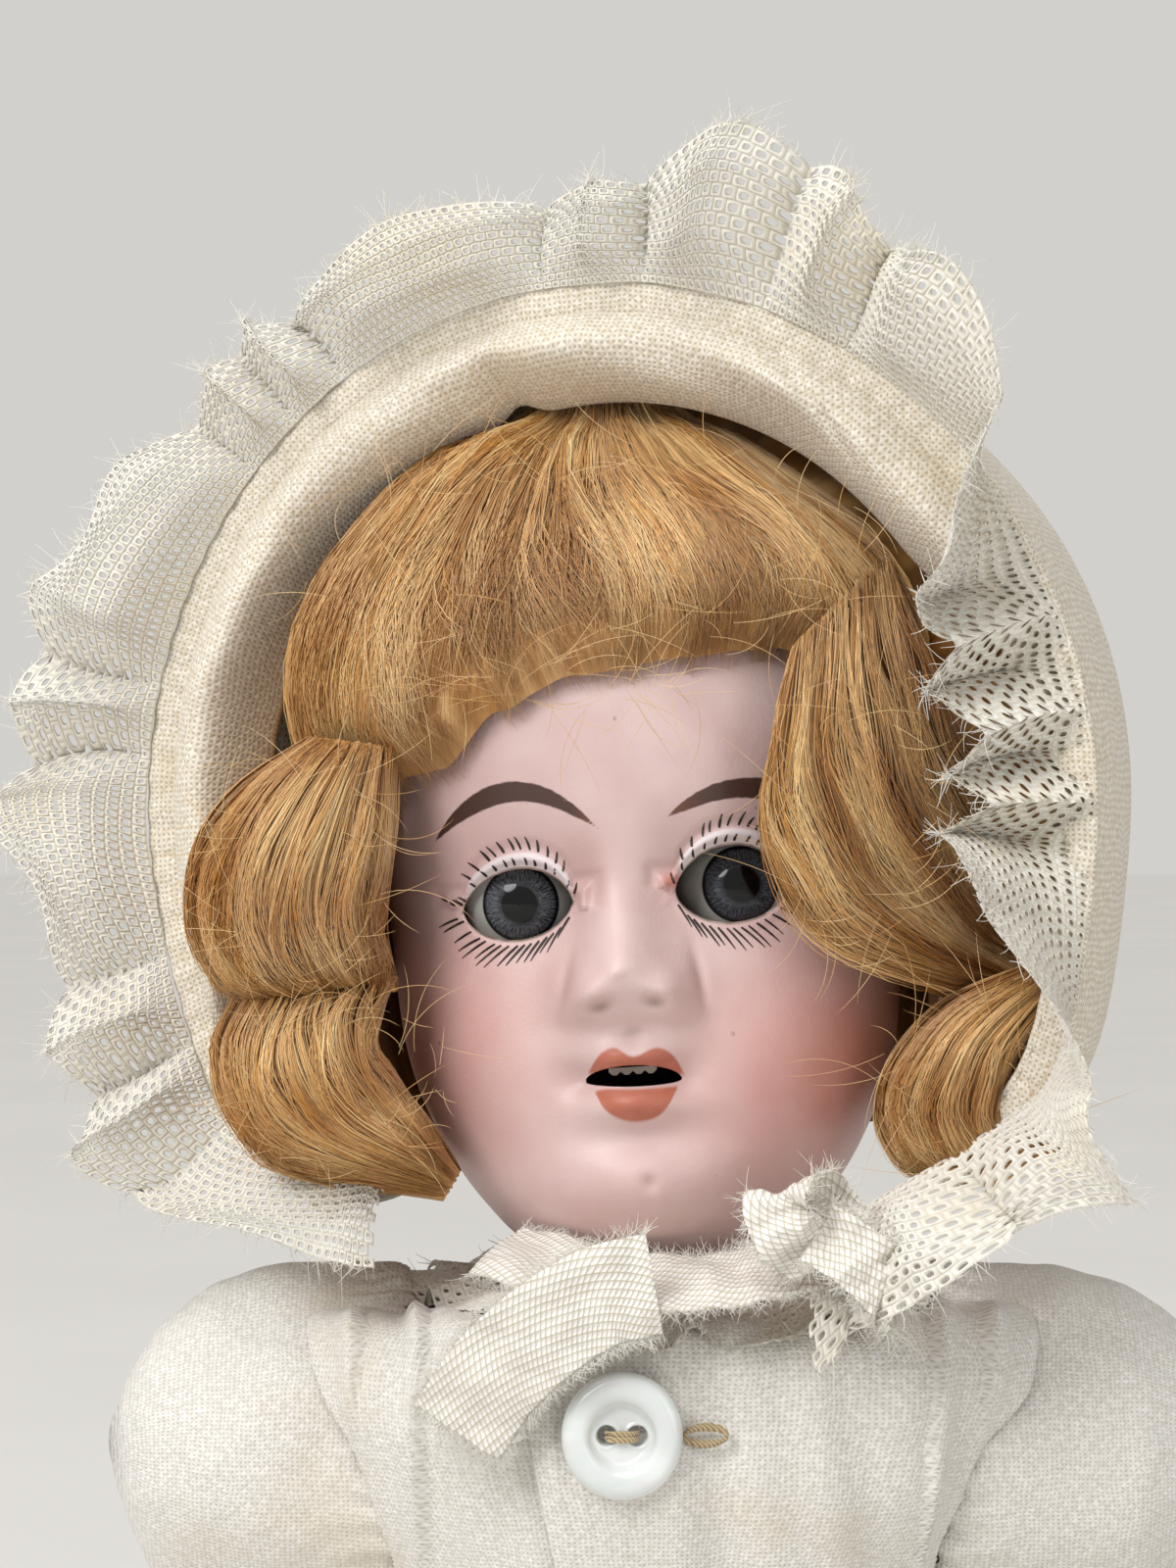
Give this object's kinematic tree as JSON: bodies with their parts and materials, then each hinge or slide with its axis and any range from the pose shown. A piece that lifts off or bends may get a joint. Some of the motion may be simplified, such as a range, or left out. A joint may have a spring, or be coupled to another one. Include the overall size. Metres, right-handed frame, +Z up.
{
  "type": "bisque head doll",
  "caption": "Seated antique doll with a bisque head, sleep eyes, mohair wig, lace-edged linen bonnet, tucked dress and a strung, jointed composition body.",
  "frame": {"origin": "middle of the seat, on the flat underside of the torso", "axes": "+Z up, from the seat to the bonnet; the doll faces -Y and its own left is at +X"},
  "size_m": [0.1263, 0.1727, 0.205],
  "materials": {
    "bisque": "unglazed, matt, tinted",
    "glass": "clear over a slate grey threaded iris",
    "milk_glass": "opaque, glossy",
    "mohair": "silky fibre",
    "linen": "loose plain weave",
    "lawn": "fine plain weave, aged",
    "lace": "knitted cotton",
    "ribbon": "woven, soft sheen",
    "gauze": "stiffened gauze",
    "composition": "pressed pulp and glue, painted, satin",
    "wood": "turned, bare",
    "cork": "cork",
    "plaster": "plaster",
    "steel": "drawn wire, dulled",
    "lead": "cast lead, dull",
    "elastic": "covered elastic cord",
    "shell": "mother of pearl, polished",
    "shoe_leather": "worn oilcloth"
  },
  "bodies": {
    "trunk": {"torso": "composition", "arm_elastic": "elastic", "leg_elastic": "elastic", "bodice_front_right": "lawn", "bodice_front_left": "lawn", "bodice_back": "lawn", "collar_lace": "lace", "front_button": "shell", "button_thread": "lawn", "skirt": "lawn", "ribbon_tail": "ribbon"},
    "neck": {"neck_hook": "steel"},
    "head": {"bisque_head": "bisque", "pate": "cork", "teeth": "milk_glass", "plaster_bed_right": "plaster", "plaster_bed_left": "plaster", "neck_plug": "wood", "wig_cap": "gauze", "wig_crown": "mohair", "wig_fringe": "mohair", "curl_right_upper": "mohair", "curl_right_lower": "mohair", "curl_left_lower": "mohair", "curl_left_sweep": "mohair", "bonnet_crown": "linen", "bonnet_brim": "linen", "bonnet_tape": "linen", "bonnet_ruffle": "lace", "chin_ribbon": "ribbon", "ribbon_knot": "ribbon"},
    "eyes": {"eyeball_right": "glass", "eyeball_left": "glass", "eye_wire": "steel", "eye_weight": "lead"},
    "right_upper_arm": {"upper_arm_right": "composition", "elbow_ball_right": "wood", "sleeve_right": "lawn"},
    "right_forearm": {"forearm_right": "composition", "cuff_right": "lawn"},
    "right_hand": {"hand_right": "composition"},
    "left_upper_arm": {"upper_arm_left": "composition", "elbow_ball_left": "wood", "sleeve_left": "lawn"},
    "left_forearm": {"forearm_left": "composition", "cuff_left": "lawn"},
    "left_hand": {"hand_left": "composition"},
    "right_thigh": {"thigh_right": "composition", "knee_ball_right": "wood"},
    "right_lower_leg": {"lower_leg_right": "composition", "sock_right": "lawn", "shoe_right": "shoe_leather", "shoe_strap_right": "shoe_leather"},
    "left_thigh": {"thigh_left": "composition", "knee_ball_left": "wood"},
    "left_lower_leg": {"lower_leg_left": "composition", "sock_left": "lawn", "shoe_left": "shoe_leather", "shoe_strap_left": "shoe_leather"}
  },
  "joints": [
    {"name": "head_turn", "type": "hinge", "parent": "trunk", "child": "neck", "pos_m": [0, 0.003, 0.094], "axis": [0, 0, 1], "range_deg": [-45, 45], "deforming": ["bonnet_ruffle", "ribbon_tail", "chin_ribbon"]},
    {"name": "head_nod", "type": "hinge", "parent": "neck", "child": "head", "pos_m": [0, 0.003, 0.094], "axis": [1, 0, 0], "range_deg": [-6, 3], "deforming": ["bonnet_ruffle", "ribbon_tail", "chin_ribbon"]},
    {"name": "eyes_sleep", "type": "hinge", "parent": "head", "child": "eyes", "pos_m": [-0.00407, -0.01025, 0.13211], "axis": [0.9921, -0.1043, 0.0698], "range_deg": [0, 55]},
    {"name": "right_shoulder", "type": "hinge", "parent": "trunk", "child": "right_upper_arm", "pos_m": [-0.029, 0.004, 0.076], "axis": [-1, 0, 0], "range_deg": [-40, 90], "deforming": ["sleeve_right"]},
    {"name": "right_elbow", "type": "hinge", "parent": "right_upper_arm", "child": "right_forearm", "pos_m": [-0.0392, 0.004, 0.04462], "axis": [-0.9511, 0, 0.309], "range_deg": [-62, 20], "deforming": ["sleeve_right"]},
    {"name": "right_wrist", "type": "hinge", "parent": "right_forearm", "child": "right_hand", "pos_m": [-0.0433, -0.0211, 0.0319], "axis": [-0.1451, -0.8829, -0.4465], "range_deg": [-90, 90]},
    {"name": "left_shoulder", "type": "hinge", "parent": "trunk", "child": "left_upper_arm", "pos_m": [0.029, 0.004, 0.076], "axis": [-1, 0, 0], "range_deg": [-40, 90], "deforming": ["sleeve_left"]},
    {"name": "left_elbow", "type": "hinge", "parent": "left_upper_arm", "child": "left_forearm", "pos_m": [0.0392, 0.004, 0.04462], "axis": [-0.9511, 0, -0.309], "range_deg": [-62, 20], "deforming": ["sleeve_left"]},
    {"name": "left_wrist", "type": "hinge", "parent": "left_forearm", "child": "left_hand", "pos_m": [0.0433, -0.0211, 0.0319], "axis": [0.1451, -0.8829, -0.4465], "range_deg": [-90, 90]},
    {"name": "right_hip", "type": "hinge", "parent": "trunk", "child": "right_thigh", "pos_m": [-0.0132, -0.002, 0.011], "axis": [1, 0, 0], "range_deg": [-20, 90], "deforming": ["skirt"]},
    {"name": "right_knee", "type": "hinge", "parent": "right_thigh", "child": "right_lower_leg", "pos_m": [-0.0132, -0.064, 0.011], "axis": [1, 0, 0], "range_deg": [0, 65], "deforming": ["skirt"]},
    {"name": "left_hip", "type": "hinge", "parent": "trunk", "child": "left_thigh", "pos_m": [0.0132, -0.002, 0.011], "axis": [1, 0, 0], "range_deg": [-20, 90], "deforming": ["skirt"]},
    {"name": "left_knee", "type": "hinge", "parent": "left_thigh", "child": "left_lower_leg", "pos_m": [0.0132, -0.064, 0.011], "axis": [1, 0, 0], "range_deg": [0, 65], "deforming": ["skirt"]}
  ]
}
